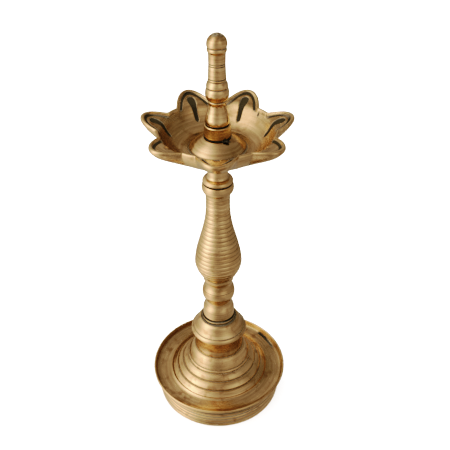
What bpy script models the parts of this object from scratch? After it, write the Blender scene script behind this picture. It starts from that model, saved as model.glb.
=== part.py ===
"""Brass standing oil lamp (samai): a drip-tray base, a ribbed stem, a bowl with petal spouts and a finial,
which screw together on three studs. Heights are in mm above the floor and radii in mm from the lamp's
axis, with +Z up. One petal points along -Y. Run with: blender --background --python part.py
"""

import math

import bmesh
import bpy
from mathutils import Vector

MM = 0.001

# Driving dimensions, in mm.
TOTAL_HEIGHT = 354.0
FIT = 0.3                 # clearance between pieces that touch
STUD_RADIUS = 5.0         # the studs in the base and in the stem
FINIAL_STUD_RADIUS = 4.0
THREAD_GRIP = 11.7        # length of stud inside the piece that screws onto it
HOLE_DEPTH = THREAD_GRIP + 2.0
STUD_ROOT = 15.4          # length of stud held in the piece that it belongs to
STUD_CHAMFER = 0.8
LOOSE_BORE = 0.8          # clearance of the loose ring and of the packings round their stud

FOOT_RADIUS = 57.4
FOOT_BAND_TOP = 16.5
TRAY_RADIUS = 63.2
TRAY_LIP_TOP = 28.0
TRAY_FLOOR = 21.7
KNOB_RADIUS = 25.2
KNOB_HEIGHT = 74.0
BOSS_BOTTOM = 71.0        # underside of the threaded boss inside the knob
RING_SEAT = 88.7          # flat on the knob that the seat ring lies on

SEAT_RING_RADIUS = 15.1
SEAT_RING_THICKNESS = 2.3

STEM_FOOT = RING_SEAT + FIT + SEAT_RING_THICKNESS + FIT
STEM_TOP = 232.0
RIB_COUNT = 21
RIB_TOP = 219.0
RIB_BOTTOM = 139.8
RIB_DEPTH = 0.45

PACKING_THICKNESS = 0.6
SOCKET_FOOT = STEM_TOP + FIT + PACKING_THICKNESS + FIT
SOCKET_NECK_RADIUS = 8.3
TENON_RADIUS = 7.1
TENON_HOLE_BOTTOM = 261.0 # bottom of the hole for the finial's stud
BOWL_SEAT = 253.2         # underside of the bowl's hub, on the socket's flange
HUB_TOP = 273.1
SEAL_THICKNESS = 0.7
COLLAR_FOOT = HUB_TOP + FIT + SEAL_THICKNESS + FIT
COLLAR_TOP = 284.1
COLLAR_RADIUS = 10.5
FINIAL_FOOT = COLLAR_TOP + FIT + PACKING_THICKNESS + FIT

PETALS = 7
PETAL_HALF_ANGLE = math.radians(19.6)
PETAL_SHARPNESS = 1.4     # power of the petal outline: higher is more pointed
PETAL_ROOT = 42.0         # radius where the petals leave the bowl's wall
PETAL_TIP = 60.5
PETAL_DROOP = 2.9         # how far the front petal is bent down, and the back ones up

SEGMENTS_WIDE = 36        # round the base
SEGMENTS_SLIM = 24        # round the stem, the socket and the collar
SEGMENTS_THIN = 20        # round the finial, the studs and the packings
SEGMENTS_PETAL = 10       # round the bowl, for each petal

BRASS = (0.62, 0.41, 0.17)
BRASS_DARK = (0.45, 0.29, 0.12)
PITCH_BLACK = (0.02, 0.017, 0.014)
PACKING_BROWN = (0.05, 0.035, 0.022)


# Outlines


def arc(start, end, bulge, steps):
    """Points after start, up to end, on an arc whose middle stands bulge mm to the left of the way."""
    start = Vector(start)
    end = Vector(end)
    half = (end - start) / 2
    radius = (half.length_squared + bulge * bulge) / (2 * abs(bulge))
    side = math.copysign(1.0, bulge)
    left = Vector((-half.y, half.x)).normalized() * side
    centre = start + half - left * (radius - abs(bulge))
    spread = math.asin(min(1.0, half.length / radius))
    if abs(bulge) > half.length:
        spread = math.pi - spread
    points = []
    for step in range(1, steps + 1):
        angle = spread * (2 * step / steps - 1)
        along = half.normalized() * radius * math.sin(angle)
        points.append(tuple(centre + left * radius * math.cos(angle) + along))
    return points


def outline(start, *moves):
    """(radius, height) points. A move is an end point, or (end point, bulge, steps) for an arc to it."""
    points = [start]
    for move in moves:
        if isinstance(move[0], tuple):
            end, bulge, steps = move
            points += arc(points[-1], end, bulge, steps)
        else:
            points.append(move)
    return points


def groove(radius, height, run, width, depth):
    """Three points of a V groove at (radius, height), where run is the surface's downhill direction."""
    along = Vector(run).normalized()
    inward = Vector((along.y, -along.x))
    middle = Vector((radius, height))
    return [
        tuple(middle - along * width / 2),
        tuple(middle + inward * depth),
        tuple(middle + along * width / 2),
    ]


def curve_through(points, height):
    """Radius at this height on a smooth curve through (radius, height) points given from the top down."""
    above = 0
    while above < len(points) - 2 and height < points[above + 1][1]:
        above += 1
    before = points[max(above - 1, 0)]
    start = points[above]
    end = points[above + 1]
    after = points[min(above + 2, len(points) - 1)]
    span = end[1] - start[1]
    t = (height - start[1]) / span
    slope_start = (end[0] - before[0]) / (end[1] - before[1]) * span
    slope_end = (after[0] - start[0]) / (after[1] - start[1]) * span
    return (
        start[0] * (2 * t**3 - 3 * t**2 + 1)
        + slope_start * (t**3 - 2 * t**2 + t)
        + end[0] * (3 * t**2 - 2 * t**3)
        + slope_end * (t**3 - t**2)
    )


# Scene and objects


def clear_scene():
    for obj in list(bpy.data.objects):
        bpy.data.objects.remove(obj)


def new_collection(name):
    collection = bpy.data.collections.new(name)
    bpy.context.scene.collection.children.link(collection)
    return collection


def principled(name, colour, roughness, metallic):
    material = bpy.data.materials.new(name)
    material.use_nodes = True
    shader = material.node_tree.nodes["Principled BSDF"]
    shader.inputs["Base Color"].default_value = (*colour, 1.0)
    shader.inputs["Roughness"].default_value = roughness
    shader.inputs["Metallic"].default_value = metallic
    return material


def place(name, mesh, material, seat, parent, collection):
    """Adds the object with its origin on the axis at its seat, smooth apart from its turned edges."""
    mesh.shade_smooth()
    mesh.set_sharp_from_angle(angle=math.radians(35))
    mesh.materials.clear()
    mesh.materials.append(material)
    obj = bpy.data.objects.new(name, mesh)
    collection.objects.link(obj)
    obj.parent = parent
    obj.location.z = seat * MM - (parent.location.z if parent else 0.0)
    return obj


def turned(name, points, closed, segments, seat):
    """A mesh turned about Z from an outline down its outer side. closed joins its end to its start."""
    profile = bpy.data.meshes.new(name + "_outline")
    edges = [(i, i + 1) for i in range(len(points) - 1)]
    if closed:
        edges.append((len(points) - 1, 0))
    profile.from_pydata([(r * MM, 0.0, (z - seat) * MM) for r, z in points], edges, [])
    blank = bpy.data.objects.new(name + "_blank", profile)
    bpy.context.scene.collection.objects.link(blank)
    screw = blank.modifiers.new("Turn", "SCREW")
    screw.axis = "Z"
    screw.steps = segments
    screw.render_steps = segments
    screw.use_merge_vertices = True
    screw.merge_threshold = 0.00005
    graph = bpy.context.evaluated_depsgraph_get()
    mesh = bpy.data.meshes.new_from_object(blank.evaluated_get(graph))
    mesh.name = name
    bpy.data.objects.remove(blank)
    bpy.data.meshes.remove(profile)
    return mesh


def loft_ring(name, sections, seat):
    """A closed mesh round Z through one closed section of (radius, height) points for each azimuth."""
    body = bmesh.new()
    rings = []
    for index, section in enumerate(sections):
        azimuth = 2 * math.pi * index / len(sections)
        ring = []
        for radius, height in section:
            x = radius * math.sin(azimuth)
            y = -radius * math.cos(azimuth)
            ring.append(body.verts.new((x * MM, y * MM, (height - seat) * MM)))
        rings.append(ring)
    points = len(sections[0])
    for index, ring in enumerate(rings):
        following = rings[(index + 1) % len(rings)]
        for i in range(points):
            j = (i + 1) % points
            body.faces.new((ring[i], ring[j], following[j], following[i]))
    bmesh.ops.recalc_face_normals(body, faces=body.faces)
    mesh = bpy.data.meshes.new(name)
    body.to_mesh(mesh)
    body.free()
    return mesh


def axis_empty(name, height, parent, collection):
    """An empty on the lamp's axis, for the pieces that unscrew together."""
    empty = bpy.data.objects.new(name, None)
    empty.empty_display_size = 0.02
    collection.objects.link(empty)
    empty.parent = parent
    empty.location.z = height * MM - (parent.matrix_basis.translation.z if parent else 0.0)
    return empty


# Outlines of the pieces


def stud(bottom, top, radius):
    """A threaded stud, as a plain rod with chamfered ends."""
    return outline(
        (0.0, top),
        (radius - STUD_CHAMFER, top),
        (radius, top - STUD_CHAMFER),
        (radius, bottom + STUD_CHAMFER),
        (radius - STUD_CHAMFER, bottom),
        (0.0, bottom),
    )


def washer(bottom, top, inner, outer, edge):
    """A ring of rectangular section with its outer edges rounded off by edge."""
    return outline(
        (inner, top),
        (outer - edge, top),
        (outer, top - edge),
        (outer, bottom + edge),
        (outer - edge, bottom),
        (inner, bottom),
    )


def base_outline():
    bore = STUD_RADIUS + FIT
    cone = (0.6, -0.8)
    knob = outline(
        (bore, RING_SEAT),
        (15.4, RING_SEAT),
        (15.9, RING_SEAT - 1.6),
        (16.5, RING_SEAT - 0.7),
        ((KNOB_RADIUS, KNOB_HEIGHT), 2.6, 6),
        (24.9, 72.3),
        (24.2, 71.4),
        (22.5, 70.5),
        ((22.3, 56.0), -0.9, 4),
    )
    steps = (
        groove(22.8, 54.0, cone, 0.8, 0.4)
        + groove(28.6, 43.2, cone, 0.7, 0.35)
        + groove(30.0, 40.6, cone, 0.7, 0.35)
        + groove(34.9, 34.9, cone, 0.9, 0.5)
        + groove(40.3, 28.9, cone, 0.9, 0.5)
    )
    tray = outline(
        (44.4, 24.3),
        (50.0, TRAY_FLOOR),
        (56.0, TRAY_FLOOR),
        (60.2, 23.6),
        (61.1, TRAY_LIP_TOP - 0.9),
        (62.0, TRAY_LIP_TOP),
        (TRAY_RADIUS, TRAY_LIP_TOP - 0.7),
        (62.6, 25.6),
        ((FOOT_RADIUS - 0.3, FOOT_BAND_TOP + 1.0), -0.7, 4),
        (FOOT_RADIUS, FOOT_BAND_TOP),
    )
    down = (0.0, -1.0)
    foot = (
        groove(FOOT_RADIUS, 12.0, down, 1.0, 0.4)
        + groove(FOOT_RADIUS, 9.4, down, 1.0, 0.4)
        + [(FOOT_RADIUS, 2.0), (FOOT_RADIUS - 0.8, 0.0)]
    )
    under = outline(
        (53.2, 0.0),
        (53.6, 14.5),
        (50.0, 18.0),
        (43.0, 19.4),
        (36.5, 27.5),
        (27.0, 38.0),
        (19.6, 48.0),
        ((19.0, 68.0), -1.0, 3),
        (16.0, BOSS_BOTTOM + 5.0),
        (11.5, BOSS_BOTTOM + 5.0),
        (10.0, BOSS_BOTTOM),
        (bore, BOSS_BOTTOM),
    )
    return knob + steps + tray + foot + under


def stem_outline():
    """Solid stem with a blind threaded hole in each end."""
    hole = STUD_RADIUS + FIT
    baluster = [
        (9.95, 222.0),
        (9.9, 213.0),
        (10.55, 200.0),
        (13.9, 183.5),
        (17.2, 171.0),
        (19.7, 158.5),
        (20.1, 152.5),
        (19.1, 147.5),
        (15.4, 140.0),
    ]
    top = outline(
        (0.0, STEM_TOP - STUD_ROOT - FIT),
        (hole, STEM_TOP - STUD_ROOT - FIT),
        (hole, STEM_TOP),
        (12.4, STEM_TOP),
        ((12.2, 224.2), 1.0, 5),
        ((10.2, 220.4), -0.5, 2),
    )
    ribs = []
    half_pitch = (RIB_TOP - RIB_BOTTOM) / (2 * RIB_COUNT)
    for i in range(2 * RIB_COUNT + 1):
        height = RIB_TOP - i * half_pitch
        offset = -RIB_DEPTH if i % 2 == 0 else RIB_DEPTH * 0.4
        ribs.append((curve_through(baluster, height) + offset, height))
    lower = outline(
        (14.2, 137.4),
        (13.5, 136.6),
        (13.8, 135.6),
        (13.4, 132.8),
        ((12.9, 124.6), -1.4, 5),
        (13.9, 122.9),
        (13.7, 122.4),
        (14.2, 121.6),
        ((13.2, 112.6), 0.9, 4),
        ((13.2, 102.4), -1.8, 5),
        ((14.1, 97.5), 0.25, 2),
        (14.4, STEM_FOOT + 1.0),
        (13.6, STEM_FOOT),
        (hole, STEM_FOOT),
        (hole, STEM_FOOT + HOLE_DEPTH),
        (0.0, STEM_FOOT + HOLE_DEPTH),
    )
    return top + ribs + lower


def socket_outline():
    """Bell, neck and flange under the bowl, and the tenon that passes through the bowl and the collar."""
    finial_hole = FINIAL_STUD_RADIUS + FIT
    hole = STUD_RADIUS + FIT
    flange = BOWL_SEAT - FIT
    return outline(
        (0.0, TENON_HOLE_BOTTOM),
        (finial_hole, TENON_HOLE_BOTTOM),
        (finial_hole, COLLAR_TOP - 0.5),
        (TENON_RADIUS, COLLAR_TOP - 0.5),
        (TENON_RADIUS, flange),
        (13.2, flange),
        (13.6, flange - 0.8),
        ((SOCKET_NECK_RADIUS, 243.6), -1.6, 4),
        (SOCKET_NECK_RADIUS, 239.0),
        (9.2, 237.3),
        ((12.6, SOCKET_FOOT + 0.5), 0.9, 4),
        (12.2, SOCKET_FOOT),
        (hole, SOCKET_FOOT),
        (hole, SOCKET_FOOT + HOLE_DEPTH),
        (0.0, SOCKET_FOOT + HOLE_DEPTH),
    )


def bowl_sections():
    """The bowl's closed section between two petals and along a petal, blended for each azimuth."""
    hole = TENON_RADIUS + FIT
    shared_top = [
        (hole, HUB_TOP),
        (11.0, HUB_TOP),
        (17.0, 269.4),
        (22.3, 265.2),
        (22.8, 264.3),
        (28.5, 264.0),
        (34.5, 266.8),
        (39.5, 271.6),
    ]
    between = [
        (42.4, 275.8),
        (43.3, 277.6),
        (43.9, 279.0),
        (44.4, 280.1),
        (45.1, 280.9),
        (46.2, 281.0),
        (46.9, 280.1),
        (46.7, 278.4),
        (45.4, 275.0),
        (42.0, 269.7),
        (36.2, 264.4),
    ]
    along_petal = [
        (43.2, 277.4),
        (45.8, 279.6),
        (51.5, 281.2),
        (56.4, 282.7),
        (57.6, 284.0),
        (59.3, 284.4),
        (PETAL_TIP, 283.4),
        (60.1, 281.2),
        (56.0, 276.2),
        (49.5, 271.3),
        (40.5, 265.6),
    ]
    shared_bottom = [
        (29.5, 259.8),
        (21.5, 255.8),
        (14.0, BOWL_SEAT),
        (hole, BOWL_SEAT),
    ]
    sections = []
    count = PETALS * SEGMENTS_PETAL
    pitch = 2 * math.pi / PETALS
    for index in range(count):
        azimuth = 2 * math.pi * index / count
        off_petal = abs((azimuth + pitch / 2) % pitch - pitch / 2)
        inside = max(0.0, 1 - (off_petal / PETAL_HALF_ANGLE) ** 2)
        weight = inside**PETAL_SHARPNESS
        droop = PETAL_DROOP * math.cos(azimuth)
        blended = []
        for low, high in zip(between, along_petal):
            radius = low[0] + (high[0] - low[0]) * weight
            height = low[1] + (high[1] - low[1]) * weight
            along = max(0.0, (radius - PETAL_ROOT) / (PETAL_TIP - PETAL_ROOT))
            blended.append((radius, height - droop * along * weight))
        sections.append(shared_top + blended + shared_bottom)
    return sections


def collar_outline():
    bore = TENON_RADIUS + FIT
    return outline(
        (bore, COLLAR_TOP),
        (COLLAR_RADIUS - 0.8, COLLAR_TOP),
        (COLLAR_RADIUS - 0.2, COLLAR_TOP - 0.7),
        (COLLAR_RADIUS, COLLAR_FOOT + 0.4),
        (COLLAR_RADIUS - 0.4, COLLAR_FOOT),
        (bore, COLLAR_FOOT),
    )


def finial_outline():
    """Domed knob, scored cylinder, two barrels, a thin ring and a vase foot with a blind hole."""
    hole = FINIAL_STUD_RADIUS + FIT
    down = (0.0, -1.0)
    knob = outline(
        (0.0, TOTAL_HEIGHT),
        (2.9, TOTAL_HEIGHT - 0.35),
        ((7.6, 347.6), 1.0, 4),
        (7.5, 345.0),
        (6.8, 344.0),
        (7.35, 343.0),
        (7.3, 341.5),
        (6.5, 340.3),
    )
    cylinder = groove(6.4, 332.3, down, 0.8, 0.35) + groove(6.45, 330.8, down, 0.8, 0.35)
    foot_of_cylinder = groove(6.8, 321.0, down, 0.8, 0.35) + [(7.05, 319.8)]
    barrels = outline(
        (6.7, 318.9),
        (7.1, 318.2),
        ((8.3, 314.3), 0.3, 3),
        (7.9, 313.7),
        (8.35, 313.1),
        ((8.3, 305.2), 0.7, 5),
        (6.8, 303.5),
        (7.1, 302.9),
        (7.1, 302.0),
        (6.55, 301.2),
        (6.55, 299.6),
    )
    vase = outline(
        (7.05, 296.2),
        (8.2, 292.0),
        ((9.5, 286.0), 0.25, 3),
        (9.4, FINIAL_FOOT),
        (hole, FINIAL_FOOT),
        (hole, FINIAL_FOOT + HOLE_DEPTH),
        (0.0, FINIAL_FOOT + HOLE_DEPTH),
    )
    return knob + cylinder + foot_of_cylinder + barrels + vase


# Assembly


def build():
    clear_scene()
    lamp = new_collection("samai_oil_lamp")
    brass = {
        name: principled("brass_" + name, BRASS, 0.28, 1.0)
        for name in ("base", "stem", "socket", "bowl", "collar", "finial", "ring")
    }
    stud_brass = principled("brass_stud", BRASS_DARK, 0.45, 1.0)
    pitch_black = principled("sealing_pitch", PITCH_BLACK, 0.7, 0.0)
    packing = principled("packing", PACKING_BROWN, 0.85, 0.0)

    def add_turned(name, points, closed, segments, material, seat, parent=None):
        mesh = turned(name, points, closed, segments, seat)
        return place(name, mesh, material, seat, parent, lamp)

    ring_bottom = RING_SEAT + FIT
    ring_top = ring_bottom + SEAT_RING_THICKNESS
    packing_bottom = STEM_TOP + FIT
    finial_packing_bottom = COLLAR_TOP + FIT
    seal_bottom = HUB_TOP + FIT

    add_turned("base", base_outline(), True, SEGMENTS_WIDE, brass["base"], 0.0)
    base_stud = stud(BOSS_BOTTOM + FIT, STEM_FOOT + THREAD_GRIP, STUD_RADIUS)
    add_turned("base_stud", base_stud, False, SEGMENTS_THIN, stud_brass, RING_SEAT)

    stem_axis = axis_empty("stem_axis", STEM_FOOT, None, lamp)
    ring_bore = STUD_RADIUS + LOOSE_BORE
    seat_ring = washer(ring_bottom, ring_top, ring_bore, SEAT_RING_RADIUS, 0.5)
    add_turned("seat_ring", seat_ring, True, SEGMENTS_SLIM, brass["ring"], ring_bottom)
    add_turned("stem", stem_outline(), False, SEGMENTS_SLIM, brass["stem"], STEM_FOOT, stem_axis)
    bowl_stud = stud(STEM_TOP - STUD_ROOT, SOCKET_FOOT + THREAD_GRIP, STUD_RADIUS)
    add_turned("bowl_stud", bowl_stud, False, SEGMENTS_THIN, stud_brass, STEM_TOP, stem_axis)

    bowl_axis = axis_empty("bowl_axis", SOCKET_FOOT, None, lamp)
    bowl_packing = washer(packing_bottom, packing_bottom + PACKING_THICKNESS, ring_bore, 12.2, 0.15)
    add_turned("bowl_packing", bowl_packing, True, SEGMENTS_THIN, packing, packing_bottom)
    socket = socket_outline()
    add_turned("bowl_socket", socket, False, SEGMENTS_SLIM, brass["socket"], SOCKET_FOOT, bowl_axis)
    bowl = loft_ring("bowl", bowl_sections(), BOWL_SEAT)
    place("bowl", bowl, brass["bowl"], BOWL_SEAT, bowl_axis, lamp)
    tenon_bore = TENON_RADIUS + FIT
    seal = washer(seal_bottom, seal_bottom + SEAL_THICKNESS, tenon_bore, COLLAR_RADIUS + 0.2, 0.2)
    add_turned("bowl_seal", seal, True, SEGMENTS_THIN, pitch_black, seal_bottom, bowl_axis)
    collar = collar_outline()
    add_turned("bowl_collar", collar, True, SEGMENTS_SLIM, brass["collar"], COLLAR_FOOT, bowl_axis)
    finial_stud = stud(TENON_HOLE_BOTTOM + FIT, FINIAL_FOOT + THREAD_GRIP, FINIAL_STUD_RADIUS)
    add_turned("finial_stud", finial_stud, False, SEGMENTS_THIN, stud_brass, COLLAR_TOP, bowl_axis)

    finial_axis = axis_empty("finial_axis", FINIAL_FOOT, None, lamp)
    finial_bore = FINIAL_STUD_RADIUS + LOOSE_BORE
    packing_top = finial_packing_bottom + PACKING_THICKNESS
    finial_packing = washer(finial_packing_bottom, packing_top, finial_bore, 9.2, 0.15)
    add_turned(
        "finial_packing", finial_packing, True, SEGMENTS_THIN, packing, finial_packing_bottom
    )
    add_turned("finial", finial_outline(), False, SEGMENTS_THIN, brass["finial"], FINIAL_FOOT, finial_axis)


build()
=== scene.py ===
"""Brass standing oil lamp (samai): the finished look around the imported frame.

Every turned piece is spun from an outline of (radius, height) points in mm, run down its outer
side. The bowl is a ring of such outlines, one for each azimuth. Azimuth 0 is the front, -Y, and
azimuths grow towards +X.
"""

import math

import bmesh
import bpy
import numpy as np
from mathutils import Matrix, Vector, noise


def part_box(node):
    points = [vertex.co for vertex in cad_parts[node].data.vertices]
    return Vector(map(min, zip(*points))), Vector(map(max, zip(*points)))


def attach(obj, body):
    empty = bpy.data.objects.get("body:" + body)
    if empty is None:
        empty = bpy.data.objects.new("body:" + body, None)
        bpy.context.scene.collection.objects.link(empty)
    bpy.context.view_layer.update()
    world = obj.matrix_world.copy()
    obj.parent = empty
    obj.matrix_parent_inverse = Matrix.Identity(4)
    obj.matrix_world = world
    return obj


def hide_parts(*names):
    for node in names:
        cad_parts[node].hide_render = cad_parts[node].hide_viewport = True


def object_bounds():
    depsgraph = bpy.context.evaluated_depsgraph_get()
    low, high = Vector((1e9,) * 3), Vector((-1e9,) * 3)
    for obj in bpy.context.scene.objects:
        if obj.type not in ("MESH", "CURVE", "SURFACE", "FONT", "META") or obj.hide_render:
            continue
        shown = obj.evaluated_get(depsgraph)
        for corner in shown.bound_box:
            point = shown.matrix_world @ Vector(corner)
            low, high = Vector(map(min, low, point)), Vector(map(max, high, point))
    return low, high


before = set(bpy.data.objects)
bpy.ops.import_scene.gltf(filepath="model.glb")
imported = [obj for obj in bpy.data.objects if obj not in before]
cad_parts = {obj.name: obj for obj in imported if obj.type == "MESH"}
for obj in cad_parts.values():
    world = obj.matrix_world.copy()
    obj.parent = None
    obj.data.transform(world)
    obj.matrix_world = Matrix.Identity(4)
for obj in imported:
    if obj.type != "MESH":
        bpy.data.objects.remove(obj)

MM = 0.001
CAD_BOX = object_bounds()


def top_of(node):
    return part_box(node)[1][2] / MM


def foot_of(node):
    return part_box(node)[0][2] / MM


def radius_of(node):
    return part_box(node)[1][0] / MM


# Heights and radii in mm, from the frame
TOTAL_HEIGHT = top_of("finial")
RING_SEAT = top_of("base")
STEM_FOOT = foot_of("stem")
STEM_TOP = top_of("stem")
SOCKET_FOOT = foot_of("bowl_socket")
BOWL_SEAT = foot_of("bowl")
COLLAR_FOOT = foot_of("bowl_collar")
COLLAR_TOP = top_of("bowl_collar")
COLLAR_RADIUS = radius_of("bowl_collar")
FINIAL_FOOT = foot_of("finial")

# Clearance, studs, holes and threads, in mm
CLEARANCE = 0.3
HUB_TOP = foot_of("bowl_seal") - CLEARANCE
STUD_RADIUS = 5.0
FINIAL_STUD_RADIUS = 4.0
STUD_BORE = STUD_RADIUS + CLEARANCE
FINIAL_BORE = FINIAL_STUD_RADIUS + CLEARANCE
STUD_HOLE_DEPTH = 13.7
PACKING_HOLE = 5.8
FINIAL_PACKING_HOLE = 4.8
TENON_RADIUS = 7.1
TENON_HOLE = TENON_RADIUS + CLEARANCE
THREAD_PITCH = 2.0
THREAD_DEPTH = 0.75

# The bowl's petals: angles in radians, radii and droop in mm
PETALS = 7
PETAL_HALF_ANGLE = math.radians(19.6)
PETAL_SHARPNESS = 1.4
PETAL_ROOT = 42.0
PETAL_TIP = 60.5
PETAL_DROOP = 2.9
PETAL_PITCH = 2 * math.pi / PETALS
COLUMNS_PER_PETAL = 84

RIB_COUNT = 21
RIB_TOP = 219.0
RIB_BOTTOM = 139.8

# The casting flaw in the tray, behind and to the right
SLOT_RADIUS = 58.2
SLOT_WIDTH = 0.85
SLOT_DEPTH = 1.0

# The engraved line and the wick groove in each petal
LINE_FROM_RIM = 4.0
LINE_DEPTH = 0.8
WICK_DEPTH = 1.0


# Outlines


def smoothstep(low, high, values):
    """0 at low and 1 at high, with a soft start and end; low may be the larger."""
    t = np.clip((values - low) / (high - low), 0, 1)
    return t * t * (3 - 2 * t)


def hermite(start, end, slope_start, slope_end, t):
    """A cubic from start to end with the given slopes, at t from 0 to 1."""
    return (
        start * (2 * t**3 - 3 * t**2 + 1)
        + slope_start * (t**3 - 2 * t**2 + t)
        + end * (3 * t**2 - 2 * t**3)
        + slope_end * (t**3 - t**2)
    )


def arc(start, end, bulge, steps):
    """Points after start and up to end, on an arc that bulges that many mm to the left of the way."""
    start = Vector(start)
    end = Vector(end)
    half = (end - start) / 2
    radius = (half.length_squared + bulge * bulge) / (2 * abs(bulge))
    left = Vector((-half.y, half.x)).normalized() * math.copysign(1.0, bulge)
    centre = start + half - left * (radius - abs(bulge))
    spread = math.asin(min(1.0, half.length / radius))
    if abs(bulge) > half.length:
        spread = math.pi - spread
    points = []
    for step in range(1, steps + 1):
        angle = spread * (2 * step / steps - 1)
        along = half.normalized() * radius * math.sin(angle)
        points.append(tuple(centre + left * radius * math.cos(angle) + along))
    return points


def outline(start, *moves):
    """(radius, height) points. A move is an end point, or (end point, bulge) for an arc to it."""
    points = [start]
    for move in moves:
        if isinstance(move[0], tuple):
            end, bulge = move
            length = math.dist(points[-1], end)
            points += arc(points[-1], end, bulge, max(4, round(length / 0.9)))
        else:
            points.append(move)
    return points


def smooth_through(points, step=0.9):
    """A smooth curve through the points, sampled about every step mm."""
    padded = [points[0]] + list(points) + [points[-1]]
    curve = [points[0]]
    for i in range(len(points) - 1):
        a, b, c, d = (np.array(p, float) for p in padded[i : i + 4])
        count = max(2, round(float(np.linalg.norm(c - b)) / step))
        for k in range(1, count + 1):
            t = k / count
            value = 0.5 * (
                2 * b + (c - a) * t + (2 * a - 5 * b + 4 * c - d) * t**2 + (3 * b - a - 3 * c + d) * t**3
            )
            curve.append(tuple(float(v) for v in value))
    return curve


def groove(radius, height, run, width, depth):
    """A round-bottomed groove across a surface whose downhill direction is run."""
    along = Vector(run).normalized()
    inward = Vector((along.y, -along.x))
    middle = Vector((radius, height))
    points = []
    for share in (-0.5, -0.3, 0.0, 0.3, 0.5):
        sink = depth * (1 - (2 * share) ** 2) ** 0.7
        points.append(tuple(middle + along * width * share + inward * sink))
    return points


def soften(points, closed, fillet=0.35):
    """Rounds each corner sharper than 18 degrees."""
    count = len(points)
    result = []
    for i, point in enumerate(points):
        if not closed and i in (0, count - 1):
            result.append(point)
            continue
        here = Vector(point)
        before = Vector(points[i - 1]) - here
        after = Vector(points[(i + 1) % count]) - here
        if before.length < 1e-6 or after.length < 1e-6:
            continue
        turn = math.pi - before.angle(after)
        if turn < math.radians(18):
            result.append(point)
            continue
        reach = min(fillet, before.length * 0.4, after.length * 0.4)
        start = here + before.normalized() * reach
        end = here + after.normalized() * reach
        result += [tuple(start), tuple((start + end) / 4 + here / 2), tuple(end)]
    return result


def resample(points, closed, longest=1.3):
    result = []
    count = len(points)
    for i in range(count if closed else count - 1):
        a = np.array(points[i], float)
        b = np.array(points[(i + 1) % count], float)
        parts = max(1, math.ceil(float(np.linalg.norm(b - a)) / longest))
        for k in range(parts):
            result.append(tuple(a + (b - a) * k / parts))
    if not closed:
        result.append(points[-1])
    return result


def hollows(points, closed):
    """Narrow grooves, wide hollows and edges along an outline, each about 0 to 1; the wide hollows are
    later given a light painted shade.
    """
    curve = np.array(points, float)
    ring = np.vstack([curve, curve[:1]]) if closed else curve
    steps = np.linalg.norm(np.diff(ring, axis=0), axis=1)
    along = np.concatenate([[0.0], np.cumsum(steps)])
    total = along[-1]
    depths = []
    for spread in (0.55, 2.6):
        sides = []
        for shift in (-spread, spread):
            where = along[: len(curve)] + shift
            where = where % total if closed else np.clip(where, 0, total)
            sides.append(np.stack([np.interp(where, along, ring[:, axis]) for axis in (0, 1)], 1))
        run = sides[1] - sides[0]
        length = np.linalg.norm(run, axis=1) + 1e-9
        outward = np.stack([-run[:, 1], run[:, 0]], 1) / length[:, None]
        middle = (sides[0] + sides[1]) / 2
        depths.append(np.sum((middle - curve) * outward, axis=1) / spread)
    narrow = np.clip(depths[0] * 2.4 - 0.35, 0, 1)
    wide = np.clip(depths[1] * 1.6, 0, 1)
    edge = np.clip(-depths[0] * 1.8, 0, 1)
    return narrow, wide, edge


# Meshes

# The first value is painted shade: how far the wide hollows of the turned pieces are darkened and dulled
HOLLOW_SHADE = 0.10
TURNED_WOBBLE = 0.07


def add_object(name, mesh):
    obj = bpy.data.objects.new(name, mesh)
    bpy.context.scene.collection.objects.link(obj)
    return obj


def build_mesh(name, vertices, faces, grime_and_shade, wear):
    """A smooth mesh, in mm, with the attributes that the metal reads: grime with painted shade, and
    wear.
    """
    mesh = bpy.data.meshes.new(name)
    mesh.from_pydata((np.asarray(vertices) * MM).tolist(), [], faces)
    mesh.validate()
    for label, values in (("grime_and_shade", grime_and_shade), ("wear", wear)):
        layer = mesh.attributes.new(label, "FLOAT", "POINT")
        layer.data.foreach_set("value", np.clip(np.asarray(values, np.float32), 0, 1))
    body = bmesh.new()
    body.from_mesh(mesh)
    bmesh.ops.recalc_face_normals(body, faces=body.faces)
    body.to_mesh(mesh)
    body.free()
    mesh.shade_smooth()
    return mesh


def wobble(vertices, amount, scale, seed):
    """Moves the points in and out by a slow noise, as a hand-finished casting's surface does."""
    moved = np.array(vertices, float)
    for i, (x, y, z) in enumerate(vertices):
        radius = math.hypot(x, y)
        if radius < 1.0:
            continue
        place = Vector((x, y, z)) / scale + Vector((seed, seed * 1.7, seed * 0.3))
        push = noise.noise(place) * amount * min(1.0, (radius - 1.0) / 4)
        moved[i, 0] += x / radius * push
        moved[i, 1] += y / radius * push
    return moved


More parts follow.
